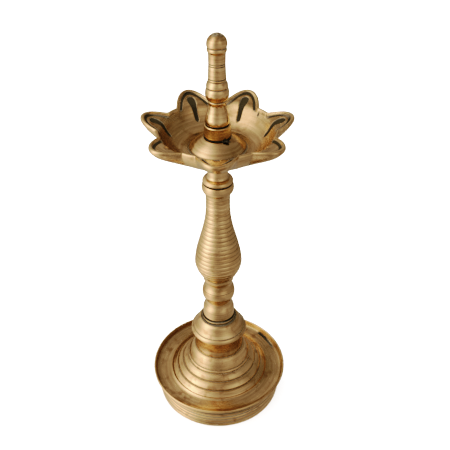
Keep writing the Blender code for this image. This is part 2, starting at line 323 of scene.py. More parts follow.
def spin(name, points, closed, segments, blackening=0.8, seed=1.0, shape=None):
    """Turns an outline about Z, blackening its narrow grooves and giving its wide hollows a light
    painted shade. shape(vertices, grime) may move points and add grime and painted shade.
    """
    fine = resample(soften(points, closed), closed)
    narrow, wide, edge = hollows(fine, closed)
    # Narrow grooves are blackened; wide hollows get painted shade
    row_grime_and_shade = narrow * blackening + wide * HOLLOW_SHADE
    vertices = []
    grime_and_shade = []
    wear = []
    rows = []
    for (radius, height), dark, bright in zip(fine, row_grime_and_shade, edge):
        count = 1 if radius < 1e-6 else segments
        rows.append(range(len(vertices), len(vertices) + count))
        for k in range(count):
            azimuth = 2 * math.pi * k / segments
            vertices.append((radius * math.sin(azimuth), -radius * math.cos(azimuth), height))
            grime_and_shade.append(dark)
            wear.append(bright)
    faces = []
    for i in range(len(rows) if closed else len(rows) - 1):
        upper = rows[i]
        lower = rows[(i + 1) % len(rows)]
        for k in range(segments):
            n = (k + 1) % segments
            if len(upper) == 1:
                faces.append((upper[0], lower[k], lower[n]))
            elif len(lower) == 1:
                faces.append((upper[k], lower[0], upper[n]))
            else:
                faces.append((upper[k], lower[k], lower[n], upper[n]))
    vertices = wobble(np.array(vertices), TURNED_WOBBLE, 9.0, seed)
    grime_and_shade = np.array(grime_and_shade)
    if shape:
        vertices, grime_and_shade = shape(vertices, grime_and_shade)
    return add_object(name, build_mesh(name, vertices, faces, grime_and_shade, wear))


def threaded_rod(name, bottom, top, radius, segments=48):
    """A right-hand screw thread on a rod, running out at both ends."""
    step = THREAD_PITCH / 10
    count = round((top - bottom) / step)
    vertices = [(0.0, 0.0, top)]
    grime_and_shade = [0.2]
    for i in range(count + 1):
        height = top - (top - bottom) * i / count
        end = min(top - height, height - bottom)
        taper = max(0.0, 0.8 - end)
        for k in range(segments):
            turn = k / segments
            phase = (height / THREAD_PITCH - turn) % 1.0
            flank = abs(2 * phase - 1)
            sink = THREAD_DEPTH * min(1.0, max(0.0, 1.25 * flank - 0.12))
            reach = radius - max(sink, taper)
            angle = 2 * math.pi * turn
            vertices.append((reach * math.cos(angle), reach * math.sin(angle), height))
            grime_and_shade.append(sink / THREAD_DEPTH)
    vertices.append((0.0, 0.0, bottom))
    grime_and_shade.append(0.2)
    faces = []
    last = len(vertices) - 1
    for k in range(segments):
        n = (k + 1) % segments
        faces.append((0, 1 + k, 1 + n))
        for i in range(count):
            a = 1 + i * segments
            b = a + segments
            faces.append((a + k, b + k, b + n, a + n))
        a = 1 + count * segments
        faces.append((a + k, last, a + n))
    return add_object(name, build_mesh(name, vertices, faces, grime_and_shade, [0.0] * len(vertices)))


# Materials

DARK_GOLD = (0.66, 0.50, 0.335)
PALE_GOLD = (0.95, 0.775, 0.565)
BROWN_STAIN = (0.46, 0.355, 0.24)
RED_SPOT = (0.42, 0.265, 0.165)
WORN_EDGE = (0.97, 0.80, 0.58)
# The last two: tarnish that also paints shade into the hollows, and black dirt that also paints shade
# into the joints
TARNISH_AND_SHADE = (0.33, 0.27, 0.20)
BLACK_DIRT_AND_SHADE = (0.030, 0.023, 0.014)


def new_material(name):
    material = bpy.data.materials.new(name)
    material.use_nodes = True
    return material, material.node_tree.nodes, material.node_tree.links


def brass_material(name, seed, patina, gloss=0.0):
    """Aged satin brass: turning marks, brown patches, dirt and painted shade in the hollows, grooves and
    joints, and pale worn edges.
    """
    material, nodes, links = new_material(name)
    shader = nodes["Principled BSDF"]
    shader.inputs["Metallic"].default_value = 1.0

    def math_node(operation, a, b=None, clamp=False):
        made = nodes.new("ShaderNodeMath")
        made.operation = operation
        made.use_clamp = clamp
        for slot, value in ((0, a), (1, b)):
            if value is None:
                continue
            if isinstance(value, (int, float)):
                made.inputs[slot].default_value = value
            else:
                links.new(value, made.inputs[slot])
        return made.outputs[0]

    def ramp(source, *stops):
        made = nodes.new("ShaderNodeValToRGB")
        elements = made.color_ramp.elements
        while len(elements) < len(stops):
            elements.new(0.5)
        for element, (position, value) in zip(elements, stops):
            element.position = position
            element.color = (*value, 1.0) if isinstance(value, tuple) else (value, value, value, 1.0)
        links.new(source, made.inputs[0])
        return made.outputs[0]

    def mix(factor, a, b):
        made = nodes.new("ShaderNodeMix")
        made.data_type = "RGBA"
        links.new(factor, made.inputs[0])
        for slot, value in ((6, a), (7, b)):
            if isinstance(value, tuple):
                made.inputs[slot].default_value = (*value, 1.0)
            else:
                links.new(value, made.inputs[slot])
        return made.outputs[2]

    place = nodes.new("ShaderNodeTexCoord").outputs["Object"]
    split = nodes.new("ShaderNodeSeparateXYZ")
    links.new(place, split.inputs[0])
    x, y, z = split.outputs
    squares = math_node("ADD", math_node("MULTIPLY", x, x), math_node("MULTIPLY", y, y))
    radius = math_node("SQRT", squares)

    def lathe_noise(across, round_scale, detail, offset):
        """Noise drawn out along the turning direction."""
        combine = nodes.new("ShaderNodeCombineXYZ")
        links.new(math_node("MULTIPLY", x, round_scale), combine.inputs[0])
        links.new(math_node("MULTIPLY", y, round_scale), combine.inputs[1])
        links.new(math_node("MULTIPLY", z, across), combine.inputs[2])
        made = nodes.new("ShaderNodeTexNoise")
        made.noise_dimensions = "4D"
        made.inputs["Scale"].default_value = 1.0
        made.inputs["Detail"].default_value = detail
        made.inputs["Roughness"].default_value = 0.6
        links.new(combine.outputs[0], made.inputs["Vector"])
        links.new(math_node("ADD", math_node("MULTIPLY", radius, across), offset), made.inputs["W"])
        return made.outputs["Fac"]

    def cloud(scale, detail, offset):
        made = nodes.new("ShaderNodeTexNoise")
        made.noise_dimensions = "4D"
        made.inputs["Scale"].default_value = scale
        made.inputs["Detail"].default_value = detail
        made.inputs["W"].default_value = seed + offset
        links.new(place, made.inputs["Vector"])
        return made.outputs["Fac"]

    def attribute(label):
        made = nodes.new("ShaderNodeAttribute")
        made.attribute_name = label
        return made.outputs["Fac"]

    fine_marks = lathe_noise(2600.0, 45.0, 3.0, seed)
    broad_marks = lathe_noise(420.0, 26.0, 4.0, seed + 3.1)
    patches = cloud(34.0, 5.0, 0.0)
    blotches = cloud(120.0, 4.0, 5.0)
    specks = cloud(900.0, 2.0, 9.0)

    gold = mix(ramp(broad_marks, (0.34, 0.0), (0.66, 1.0)), DARK_GOLD, PALE_GOLD)
    stain = math_node("MULTIPLY", ramp(patches, (0.42, 0.0), (0.72, 1.0)), patina, True)
    tinted = mix(stain, gold, BROWN_STAIN)
    spots = math_node("MULTIPLY", ramp(blotches, (0.55, 0.0), (0.68, 1.0)), patina * 0.85, True)
    spotted = mix(spots, tinted, RED_SPOT)
    worn = mix(math_node("MULTIPLY", attribute("wear"), 0.55, True), spotted, WORN_EDGE)
    uneven = math_node("MULTIPLY", math_node("SUBTRACT", blotches, 0.5), 0.55)
    grime_and_shade_level = math_node("ADD", attribute("grime_and_shade"), math_node("MULTIPLY", attribute("grime_and_shade"), uneven))
    # Tarnish and black dirt, which also paint shade: the low levels dull the hollows, the high levels
    # blacken grooves, joints and engraved lines
    tarnish_and_shade = ramp(grime_and_shade_level, (0.02, 0.0), (0.3, 1.0))
    dulled = mix(tarnish_and_shade, worn, TARNISH_AND_SHADE)
    blackening = ramp(grime_and_shade_level, (0.3, 0.0), (0.62, 0.75), (0.9, 1.0))
    black = mix(blackening, dulled, BLACK_DIRT_AND_SHADE)
    links.new(black, shader.inputs["Base Color"])

    plain = math_node("ADD", math_node("MULTIPLY", tarnish_and_shade, 0.03), math_node("MULTIPLY", blackening, 0.75))
    links.new(math_node("SUBTRACT", 1.0, plain), shader.inputs["Metallic"])
    rough = math_node("ADD", math_node("MULTIPLY", broad_marks, 0.26), 0.07 - gloss)
    rough = math_node("ADD", rough, math_node("MULTIPLY", stain, 0.12))
    rough = math_node("ADD", rough, math_node("MULTIPLY", tarnish_and_shade, 0.15))
    rough = math_node("ADD", rough, math_node("MULTIPLY", blackening, 0.2), True)
    links.new(rough, shader.inputs["Roughness"])

    bump = nodes.new("ShaderNodeBump")
    bump.inputs["Strength"].default_value = 0.5
    bump.inputs["Distance"].default_value = 0.00005
    marks = math_node("ADD", fine_marks, math_node("MULTIPLY", broad_marks, 1.6))
    links.new(marks, bump.inputs["Height"])
    pits = nodes.new("ShaderNodeBump")
    pits.inputs["Strength"].default_value = 0.35
    pits.inputs["Distance"].default_value = 0.00012
    links.new(math_node("ADD", ramp(specks, (0.2, 0.0), (0.42, 1.0)), blotches), pits.inputs["Height"])
    links.new(bump.outputs[0], pits.inputs["Normal"])
    links.new(pits.outputs[0], shader.inputs["Normal"])
    return material


def dull_material(name, light, dark, scale, roughness, relief):
    """A mottled dark material with a relief in mm, for the sealing compound and the packings."""
    material, nodes, links = new_material(name)
    shader = nodes["Principled BSDF"]
    place = nodes.new("ShaderNodeTexCoord")
    grain = nodes.new("ShaderNodeTexNoise")
    grain.inputs["Scale"].default_value = scale
    grain.inputs["Detail"].default_value = 5.0
    links.new(place.outputs["Object"], grain.inputs["Vector"])
    colours = nodes.new("ShaderNodeValToRGB")
    colours.color_ramp.elements[0].color = (*dark, 1.0)
    colours.color_ramp.elements[0].position = 0.35
    colours.color_ramp.elements[1].color = (*light, 1.0)
    colours.color_ramp.elements[1].position = 0.7
    links.new(grain.outputs["Fac"], colours.inputs[0])
    links.new(colours.outputs[0], shader.inputs["Base Color"])
    shine = nodes.new("ShaderNodeMapRange")
    shine.inputs["To Min"].default_value = roughness - 0.15
    shine.inputs["To Max"].default_value = roughness + 0.15
    links.new(grain.outputs["Fac"], shine.inputs["Value"])
    links.new(shine.outputs[0], shader.inputs["Roughness"])
    bump = nodes.new("ShaderNodeBump")
    bump.inputs["Strength"].default_value = 0.7
    bump.inputs["Distance"].default_value = relief * MM
    links.new(grain.outputs["Fac"], bump.inputs["Height"])
    links.new(bump.outputs[0], shader.inputs["Normal"])
    return material


def finish_piece(obj, material, body, node):
    """Gives a piece its material, and puts it in its node's place in the frame."""
    obj.data.materials.append(material)
    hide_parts(node)
    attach(obj, body)


# Base


def base_outline():
    cone = (0.6, -0.8)
    knob = outline(
        (STUD_BORE, RING_SEAT),
        (15.4, RING_SEAT),
        (15.9, RING_SEAT - 1.6),
        (16.4, RING_SEAT - 0.8),
    )
    knob += smooth_through(
        [(16.4, RING_SEAT - 0.8), (18.2, 86.3), (20.0, 82.6), (21.9, 79.6), (23.2, 78.0)]
    )[1:]
    knob += groove(23.5, 77.6, (0.62, -0.78), 1.2, 0.4)
    knob += smooth_through([(24.0, 77.0), (24.9, 75.7), (25.3, 74.2), (25.2, 73.0)])[1:]
    knob += outline(
        (24.7, 72.0),
        (24.0, 71.3),
        (22.9, 70.6),
        ((22.3, 56.0), -0.9),
    )
    steps = []
    for radius, height, width, depth in (
        (22.8, 54.0, 1.3, 0.5),
        (28.6, 43.2, 1.0, 0.4),
        (30.0, 40.6, 1.0, 0.4),
        (34.9, 34.9, 1.7, 0.75),
        (40.3, 28.9, 1.7, 0.75),
    ):
        line = groove(radius, height, cone, width, depth)
        if steps:
            gap = math.dist(steps[-1], line[0])
            steps += arc(steps[-1], line[0], min(0.5, gap * 0.09), max(6, round(gap / 0.7)))
        steps += line[1:] if steps else line
    tray = smooth_through(
        [
            steps[-1],
            (42.6, 26.6),
            (44.3, 25.2),
            (45.0, 23.9),
            (46.6, 22.9),
            (50.5, 21.9),
            (54.0, 21.7),
            (57.0, 22.1),
        ]
    )[1:]
    tray += outline(
        (59.6, 23.2),
        (60.6, 25.0),
        (61.1, 27.0),
        ((62.9, 27.2), 0.75),
        (62.9, 26.2),
        (61.6, 23.9),
        ((57.3, 17.6), -0.8),
        (57.4, 16.4),
    )
    down = (0.0, -1.0)
    foot = groove(57.3, 12.6, down, 1.9, 0.9) + arc((57.3, 11.7), (57.3, 9.7), 0.3, 4)
    foot += groove(57.3, 8.8, down, 1.9, 0.9)
    foot += outline((57.4, 5.6), (57.0, 4.9), (57.4, 4.2), (57.4, 2.2), ((56.6, 0.0), 0.4))
    under = outline(
        (53.2, 0.0),
        (53.6, 14.5),
        (50.0, 18.0),
        (43.0, 19.4),
        (36.5, 27.5),
        (27.0, 38.0),
        (19.6, 48.0),
        ((19.0, 68.0), -1.0),
        (16.0, 76.0),
        (11.5, 76.0),
        (10.0, 71.0),
        (STUD_BORE, 71.0),
    )
    return knob + steps + tray + foot + under


def age_base(vertices, grime_and_shade):
    """The casting flaw in the tray, the uneven lip, dirt on the foot, painted shade in the hollow under
    the tray's rim, and dirt and painted shade in the joint under the loose ring.
    """
    x, y, z = vertices.T
    radius = np.hypot(x, y)
    azimuth = np.degrees(np.arctan2(x, -y))
    lip = smoothstep(50, 62, radius) * smoothstep(18, 22, z)
    vertices[:, 2] += lip * (0.5 * np.sin(np.radians(azimuth) * 2 + 0.6) - 0.5)
    along = smoothstep(110, 116, azimuth) * smoothstep(138, 135, azimuth)
    strong = 0.45 + 0.55 * smoothstep(119, 126, azimuth)
    stray = 0.3 * np.sin(azimuth * 0.2)
    across = np.exp(-(((radius - SLOT_RADIUS - stray) / SLOT_WIDTH) ** 2)) * (z > 20)
    slot = along * np.minimum(1.0, across * 1.7) * strong
    vertices[:, 2] -= SLOT_DEPTH * slot
    grime_and_shade = np.maximum(grime_and_shade, 2.0 * slot)
    floor = smoothstep(46, 49, radius) * smoothstep(61, 58, radius) * (z > 20)
    grime_and_shade = np.maximum(grime_and_shade, floor * 0.05)
    outer = smoothstep(55, 56, radius)
    grime_and_shade = grime_and_shade * (1 + 0.9 * outer * smoothstep(16, 14, z))
    # Painted shade in the hollow under the tray's overhanging rim
    cavetto_shade = 0.3 * outer * smoothstep(16.0, 17.2, z) * smoothstep(20.5, 18.0, z)
    grime_and_shade = np.maximum(grime_and_shade, cavetto_shade)
    # Dirt and painted shade in the joint under the loose ring
    seat = smoothstep(RING_SEAT - 1.0, RING_SEAT - 0.3, z) * smoothstep(13, 15, radius) * 0.75
    return vertices, np.maximum(grime_and_shade, seat)


def age_ring(vertices, grime_and_shade):
    """Dirt and painted shade in the joint along the loose ring's upper edge, thickest at the sides."""
    x, y, z = vertices.T
    around = 0.6 + 0.4 * np.abs(np.sin(np.arctan2(x, -y)))
    upper = smoothstep(top_of("seat_ring") - 0.75, top_of("seat_ring") - 0.25, z)
    return vertices, np.maximum(grime_and_shade, upper * around)


# Stem


def stem_radius(height):
    """The baluster's radius under its ribs, a smooth curve through (height, radius) knots."""
    knots = [
        (222.0, 9.95),
        (213.0, 9.9),
        (206.0, 10.1),
        (200.0, 10.55),
        (192.0, 11.9),
        (183.5, 13.9),
        (171.0, 17.2),
        (164.0, 18.8),
        (158.5, 19.7),
        (152.5, 20.1),
        (147.5, 19.1),
        (143.5, 17.4),
        (139.5, 15.2),
    ]
    i = 0
    while i < len(knots) - 2 and height < knots[i + 1][0]:
        i += 1
    before = knots[max(i - 1, 0)]
    start = knots[i]
    end = knots[i + 1]
    after = knots[min(i + 2, len(knots) - 1)]
    span = end[0] - start[0]
    t = (height - start[0]) / span
    slope_start = (end[1] - before[1]) / (end[0] - before[0]) * span
    slope_end = (after[1] - start[1]) / (after[0] - start[0]) * span
    return hermite(start[1], end[1], slope_start, slope_end, t)


def age_stem(vertices, grime_and_shade):
    """The ribs' grooves are darkened less than the joints, and the foot's edge is black: dirt and
    painted shade in its joint with the loose ring.
    """
    z = vertices[:, 2]
    radius = np.hypot(vertices[:, 0], vertices[:, 1])
    ribs = smoothstep(138, 141, z) * smoothstep(220, 217, z)
    grime_and_shade = grime_and_shade * (1 - 0.45 * ribs)
    # Dirt and painted shade in the joint at the foot's edge
    foot = smoothstep(STEM_FOOT + 1.1, STEM_FOOT + 0.4, z) * (radius > 6) * 0.9
    return vertices, np.maximum(grime_and_shade, foot)


def stem_outline():
    top = outline(
        (0.0, STEM_TOP - 15.7),
        (STUD_BORE, STEM_TOP - 15.7),
        (STUD_BORE, STEM_TOP),
        (12.0, STEM_TOP),
        (12.5, STEM_TOP - 0.6),
        ((12.3, 224.6), 0.75),
        ((10.3, 220.6), -0.7),
    )
    ribs = []
    pitch = (RIB_TOP - RIB_BOTTOM) / RIB_COUNT
    samples = 9
    for i in range(RIB_COUNT * samples + 1):
        height = RIB_TOP - i * pitch / samples
        crest = math.sin(math.pi * (i % samples) / samples)
        strength = 0.45 + 0.55 * min(1.0, (RIB_TOP - height) / 22)
        ribs.append((stem_radius(height) + 0.16 - strength * 0.5 * (1 - crest) ** 1.8, height))
    lower = outline(
        (14.2, 137.7),
        (13.4, 136.8),
        (13.7, 135.8),
        (13.3, 133.2),
        ((12.8, 124.8), -1.35),
        (13.8, 123.2),
        (13.5, 122.6),
        (14.0, 121.9),
        ((13.1, 112.6), 0.9),
        (12.5, 112.0),
        ((13.2, 102.4), -1.5),
        ((14.0, 97.5), 0.3),
        (14.25, STEM_FOOT + 1.0),
        (13.5, STEM_FOOT),
        (STUD_BORE, STEM_FOOT),
        (STUD_BORE, STEM_FOOT + STUD_HOLE_DEPTH),
        (0.0, STEM_FOOT + STUD_HOLE_DEPTH),
    )
    return top + ribs + lower


# Bowl and what clamps it


def socket_outline():
    flange = BOWL_SEAT - CLEARANCE
    return outline(
        (0.0, 261.0),
        (FINIAL_BORE, 261.0),
        (FINIAL_BORE, COLLAR_TOP - 0.5),
        (TENON_RADIUS, COLLAR_TOP - 0.5),
        (TENON_RADIUS, flange),
        (13.2, flange),
        (13.6, flange - 0.8),
        ((8.3, 243.6), -1.6),
        (8.2, 240.0),
        (8.3, 238.8),
        (9.2, 237.4),
        ((12.5, SOCKET_FOOT + 0.6), 0.9),
        (12.1, SOCKET_FOOT),
        (STUD_BORE, SOCKET_FOOT),
        (STUD_BORE, SOCKET_FOOT + STUD_HOLE_DEPTH),
        (0.0, SOCKET_FOOT + STUD_HOLE_DEPTH),
    )


# Rows that each stretch of the bowl's outline is cut into, from the hole over the rim and back
BOWL_ROWS = (2, 6, 5, 2, 5, 6, 6, 4, 4, 7, 14, 12, 4, 4, 4, 4, 4, 7, 8, 7, 7, 6, 5)
BOWL_SHARP = {0, 1, 3, 4, 21, 22}
WALL_STRETCH = 6
RIM_STRETCH = 13
RIM_POINT = 14


def bowl_outline(azimuth):
    """The bowl's closed outline at one azimuth: the plain rim, drawn out towards a petal's section."""
    shared_top = [
        (TENON_HOLE, HUB_TOP),
        (11.0, HUB_TOP),
        (17.0, 269.4),
        (22.3, 265.2),
        (22.8, 264.3),
        (28.5, 264.0),
        (34.5, 266.8),
        (39.5, 271.6),
    ]
    between_petals = [
        (42.4, 275.8),
        (43.3, 277.6),
        (43.9, 279.0),
        (44.4, 280.1),
        (45.1, 280.9),
        (46.2, 281.0),
        (46.9, 280.1),
        (46.7, 278.4),
        (45.4, 275.0),
        (42.0, 269.7),
        (36.2, 264.4),
    ]
    along_petal = [
        (43.2, 277.4),
        (45.8, 279.6),
        (51.5, 281.2),
        (56.4, 282.7),
        (57.6, 284.0),
        (59.3, 284.4),
        (PETAL_TIP, 283.4),
        (60.1, 281.2),
        (56.0, 276.2),
        (49.5, 271.3),
        (40.5, 265.6),
    ]
    shared_bottom = [
        (29.5, 259.8),
        (21.5, 255.8),
        (14.0, BOWL_SEAT),
        (TENON_HOLE, BOWL_SEAT),
    ]
    off_petal = abs((azimuth + PETAL_PITCH / 2) % PETAL_PITCH - PETAL_PITCH / 2)
    weight = max(0.0, 1 - (off_petal / PETAL_HALF_ANGLE) ** 2) ** PETAL_SHARPNESS
    droop = PETAL_DROOP * math.cos(azimuth)
    blended = []
    for low, high in zip(between_petals, along_petal):
        radius = low[0] + (high[0] - low[0]) * weight
        height = low[1] + (high[1] - low[1]) * weight
        along = max(0.0, (radius - PETAL_ROOT) / (PETAL_TIP - PETAL_ROOT))
        blended.append((radius, height - droop * along * weight))
    return shared_top + blended + shared_bottom


def refine(rings):
    """Rows of a smooth curve through each closed outline, with corners at its sharp points."""
    count = rings.shape[1]
    fine = []
    for i in range(count):
        following = (i + 1) % count
        start = rings[:, i]
        end = rings[:, following]
        before = start if i in BOWL_SHARP else rings[:, i - 1]
        after = end if following in BOWL_SHARP else rings[:, (i + 2) % count]
        for k in range(BOWL_ROWS[i]):
            fine.append(hermite(start, end, (end - before) / 2, (after - start) / 2, k / BOWL_ROWS[i]))
    return np.array(fine)


def rim_distance(x, y, rim, azimuths):
    """How far each point near the rim is from it, seen from above, and 99 elsewhere."""
    rim_x = rim * np.sin(azimuths)
    rim_y = -rim * np.cos(azimuths)
    nearest = np.full(x.shape, 99.0)
    for i in range(sum(BOWL_ROWS[:WALL_STRETCH]), sum(BOWL_ROWS[:RIM_STRETCH]) + 4):
        gap = np.hypot(x[i][:, None] - rim_x[None, :], y[i][:, None] - rim_y[None, :])
        nearest[i] = gap.min(axis=1)
    return nearest


def engraved_line(nearest, radius, azimuths, off_petal):
    """0 to 1 in the dark line that follows each petal's rim, heavier on the leg that is turned outwards;
    that extra weight is painted shade of the lip's inner face.
    """
    side = np.sign(off_petal) * np.clip(np.abs(off_petal) / 0.12, 0, 1)
    # Painted shade: the outward leg of each line is drawn wider
    shade_lean = 0.5 + 0.5 * np.sin(azimuths) * side
    line = smoothstep(1.0 + 0.55 * shade_lean, 0.4 + 0.4 * shade_lean, np.abs(nearest - LINE_FROM_RIM))
    return line * smoothstep(42.8, 46.0, radius)


def wick_groove(radius, off_petal, faces_front):
    """0 to 1 in the drop-shaped groove that leads from the bowl into each petal."""
    along = radius * np.cos(off_petal)
    across = radius * np.sin(off_petal)
    groove_top = np.where(faces_front, 45.0, 50.3)
    groove_foot = 38.6
    half_width = 1.5 + 1.6 * smoothstep(40.0, 49.5, along)
    beyond = np.maximum(0, along - groove_top)
    short = np.maximum(0, groove_foot - along)
    away = np.hypot(across, np.maximum(beyond, short))
    return smoothstep(0.45, -0.35, away - half_width) * (along > 30)


def bowl_mesh():
    """The bowl: a closed outline for each azimuth, with a line and a wick groove in every petal."""
    columns = PETALS * COLUMNS_PER_PETAL
    azimuths = 2 * np.pi * np.arange(columns) / columns
    rings = np.array([bowl_outline(2 * math.pi * index / columns) for index in range(columns)])
    fine = refine(rings)
    rows = len(fine)
    radius = fine[:, :, 0]
    height = fine[:, :, 1]
    x = radius * np.sin(azimuths)
    y = -radius * np.cos(azimuths)
    nearest = rim_distance(x, y, rings[:, RIM_POINT, 0], azimuths)
    is_top = (np.arange(rows) < sum(BOWL_ROWS[:RIM_STRETCH]))[:, None] * np.ones((1, columns))

    off_petal = (azimuths + PETAL_PITCH / 2) % PETAL_PITCH - PETAL_PITCH / 2
    petal = np.round(azimuths / PETAL_PITCH) % PETALS
    faces_front = (petal == 0) | (petal == 1) | (petal == PETALS - 1)
    engraved = engraved_line(nearest, radius, azimuths, off_petal) * is_top
    wick = wick_groove(radius, off_petal, faces_front) * is_top
    height -= LINE_DEPTH * engraved + WICK_DEPTH * wick
    # The engraved lines are dark, with painted shade on each heavier leg; the back petals' wick grooves
    # are darkened too
    patchy = 1.1 + 0.3 * np.sin(azimuths * 5.3 + 1.0) + 0.15 * np.sin(azimuths * 23.0)
    grime_and_shade = np.maximum(engraved * patchy, wick * np.where(faces_front, 0.0, 1.5))

    # A pit in the inner wall behind, and a nick under the rim in front: degrees, radius, inside
    for degrees, reach, inside in ((132, 43.0, True), (34, 42.0, False)):
        around = math.radians(degrees)
        apart = np.hypot(x - reach * math.sin(around), y + reach * math.cos(around))
        dent = np.exp(-((apart / 0.75) ** 2)) * (is_top == inside)
        grime_and_shade = np.maximum(grime_and_shade, 1.2 * dent)
        height += (-0.3 if inside else 0.3) * dent

    # Painted shade: a light darkening at the foot of each lip's inner wall and in the trough round the
    # hub; the hub disc's edge is dark
    inwards = smoothstep(50, 46, radius * np.cos(off_petal))
    lip_foot_shade = np.exp(-(((nearest - 4.6) / 1.6) ** 2)) * is_top * inwards * 0.1
    channel = np.exp(-(((radius - 25.0) / 2.2) ** 2)) * is_top * 0.12
    disc_edge = np.exp(-(((radius - 22.7) / 0.5) ** 2)) * is_top * 0.55
    grime_and_shade = np.maximum(grime_and_shade, np.maximum(lip_foot_shade, np.maximum(channel, disc_edge)))
    wear = np.exp(-(((nearest - 1.4) / 1.3) ** 2)) * 0.9

    vertices = np.stack([x, y, height], 2).reshape(-1, 3)
    faces = []
    for i in range(rows):
        j = (i + 1) % rows
        for k in range(columns):
            n = (k + 1) % columns
            faces.append((i * columns + k, j * columns + k, j * columns + n, i * columns + n))
    vertices = wobble(vertices, 0.22, 14.0, 4.0)
    return build_mesh("bowl_brass", vertices, faces, grime_and_shade.reshape(-1), wear.reshape(-1))


def collar_outline():
    return outline(
        (TENON_HOLE, COLLAR_TOP),
        (COLLAR_RADIUS - 0.9, COLLAR_TOP),
        (COLLAR_RADIUS - 0.25, COLLAR_TOP - 0.6),
        (COLLAR_RADIUS, COLLAR_FOOT + 0.4),
        (COLLAR_RADIUS - 0.4, COLLAR_FOOT),
        (TENON_HOLE, COLLAR_FOOT),
    )


def washer(node, inner, edge):
    """A ring that fills its node's box, with rounded outer edges."""
    top = top_of(node)
    bottom = foot_of(node)
    outer = radius_of(node)
    middle = (top + bottom) / 2
    return outline(
        (inner, top),
        (outer - edge, top),
        ((outer, middle), edge * 0.4),
        ((outer - edge, bottom), edge * 0.4),
        (inner, bottom),
    )


# Finial


def finial_outline():
    down = (0.0, -1.0)
    knob = smooth_through(
        [
            (0.0, TOTAL_HEIGHT),
            (3.0, TOTAL_HEIGHT - 0.45),
            (5.4, TOTAL_HEIGHT - 2.1),
            (7.0, TOTAL_HEIGHT - 4.4),
            (7.6, TOTAL_HEIGHT - 7.0),
            (7.5, TOTAL_HEIGHT - 9.0),
        ],
        0.6,
    )
    knob += outline((6.85, 344.1), ((7.3, 341.6), 0.25), (6.55, 340.4), (6.35, 339.2))
    cylinder = groove(6.35, 332.3, down, 0.9, 0.4) + groove(6.4, 330.8, down, 0.9, 0.4)
    cylinder += groove(6.75, 321.0, down, 0.9, 0.4) + [(7.0, 320.0)]
    barrels = outline(
        (6.65, 319.2),
        (7.05, 318.4),
        ((8.25, 314.4), 0.35),
        (7.8, 313.7),
        (8.35, 313.0),
        ((8.3, 305.3), 0.72),
        (6.9, 303.7),
        ((6.9, 302.0), 0.3),
        (6.5, 301.2),
        (6.5, 299.8),
    )
    vase = smooth_through([(6.5, 299.8), (7.1, 296.0), (8.2, 292.0), (9.2, 288.2), (9.5, 286.2)])[1:]
    vase += outline(
        (9.4, FINIAL_FOOT),
        (FINIAL_BORE, FINIAL_FOOT),
        (FINIAL_BORE, FINIAL_FOOT + STUD_HOLE_DEPTH),
        (0.0, FINIAL_FOOT + STUD_HOLE_DEPTH),
    )
    return knob + cylinder + barrels + vase


def age_finial(vertices, grime_and_shade):
    """Shallow dents and a dark patch on the knob's crown."""
    for i, (px, py, pz) in enumerate(vertices):
        if pz < TOTAL_HEIGHT - 11:
            continue
        dent = noise.noise(Vector((px, py, pz)) * 0.30 + Vector((3.1, 8.0, 1.0)))
        vertices[i, 2] -= max(0.0, dent) * 0.35
        crown = max(0.0, min(1.0, (pz - TOTAL_HEIGHT + 1.6) / 1.0))
        grime_and_shade[i] = max(grime_and_shade[i], crown * (0.42 + 0.5 * dent))
    return vertices, grime_and_shade


def blob(name, centre, size, seed):
    """A squeezed-out lump of sealing compound."""
    body = bmesh.new()
    bmesh.ops.create_icosphere(body, subdivisions=4, radius=1.0)
    for vert in body.verts:
        broad = noise.noise(vert.co * 1.6 + Vector((seed, 0, 0)))
        lump = 1 + 0.55 * broad + 0.2 * noise.noise(vert.co * 5)
        vert.co = Vector(centre) + Vector(a * b for a, b in zip(vert.co * lump, size))
        vert.co *= MM
    mesh = bpy.data.meshes.new(name)
    body.to_mesh(mesh)
    body.free()
    mesh.shade_smooth()
    return add_object(name, mesh)


# Build every piece

base = spin("base_brass", base_outline(), True, 256, blackening=0.55, seed=1.0, shape=age_base)
base_metal = brass_material("brass_base", seed=1.0, patina=0.75)
finish_piece(base, base_metal, "base", "base")

stem = spin("stem_brass", stem_outline(), False, 144, blackening=0.6, seed=2.0, shape=age_stem)
stem_metal = brass_material("brass_stem", seed=2.0, patina=0.55, gloss=0.03)
finish_piece(stem, stem_metal, "stem", "stem")

ring_outline = washer("seat_ring", PACKING_HOLE, 0.5)
ring = spin("seat_ring_brass", ring_outline, True, 96, blackening=0.4, seed=3.0, shape=age_ring)
ring_metal = brass_material("brass_ring", seed=3.0, patina=0.8)
finish_piece(ring, ring_metal, "seat_ring", "seat_ring")

socket = spin("socket_brass", socket_outline(), False, 128, blackening=0.35, seed=5.0)
socket_metal = brass_material("brass_socket", seed=5.0, patina=0.6)
finish_piece(socket, socket_metal, "bowl", "bowl_socket")

bowl = add_object("bowl_brass", bowl_mesh())
bowl_metal = brass_material("brass_bowl", seed=4.0, patina=0.7)
finish_piece(bowl, bowl_metal, "bowl", "bowl")

collar = spin("collar_brass", collar_outline(), True, 128, blackening=0.4, seed=6.0)
collar_metal = brass_material("brass_collar", seed=6.0, patina=0.85)
finish_piece(collar, collar_metal, "bowl", "bowl_collar")

finial = spin("finial_brass", finial_outline(), False, 112, blackening=0.95, seed=7.0, shape=age_finial)
finial_metal = brass_material("brass_finial", seed=7.0, patina=0.6, gloss=0.05)
finish_piece(finial, finial_metal, "finial", "finial")

stud_metal = brass_material("brass_stud", seed=8.0, patina=1.0)
for node, body, radius in (
    ("base_stud", "base", STUD_RADIUS),
    ("bowl_stud", "stem", STUD_RADIUS),
    ("finial_stud", "bowl", FINIAL_STUD_RADIUS),
):
    rod = threaded_rod(node + "_thread", foot_of(node), top_of(node), radius)
    finish_piece(rod, stud_metal, body, node)

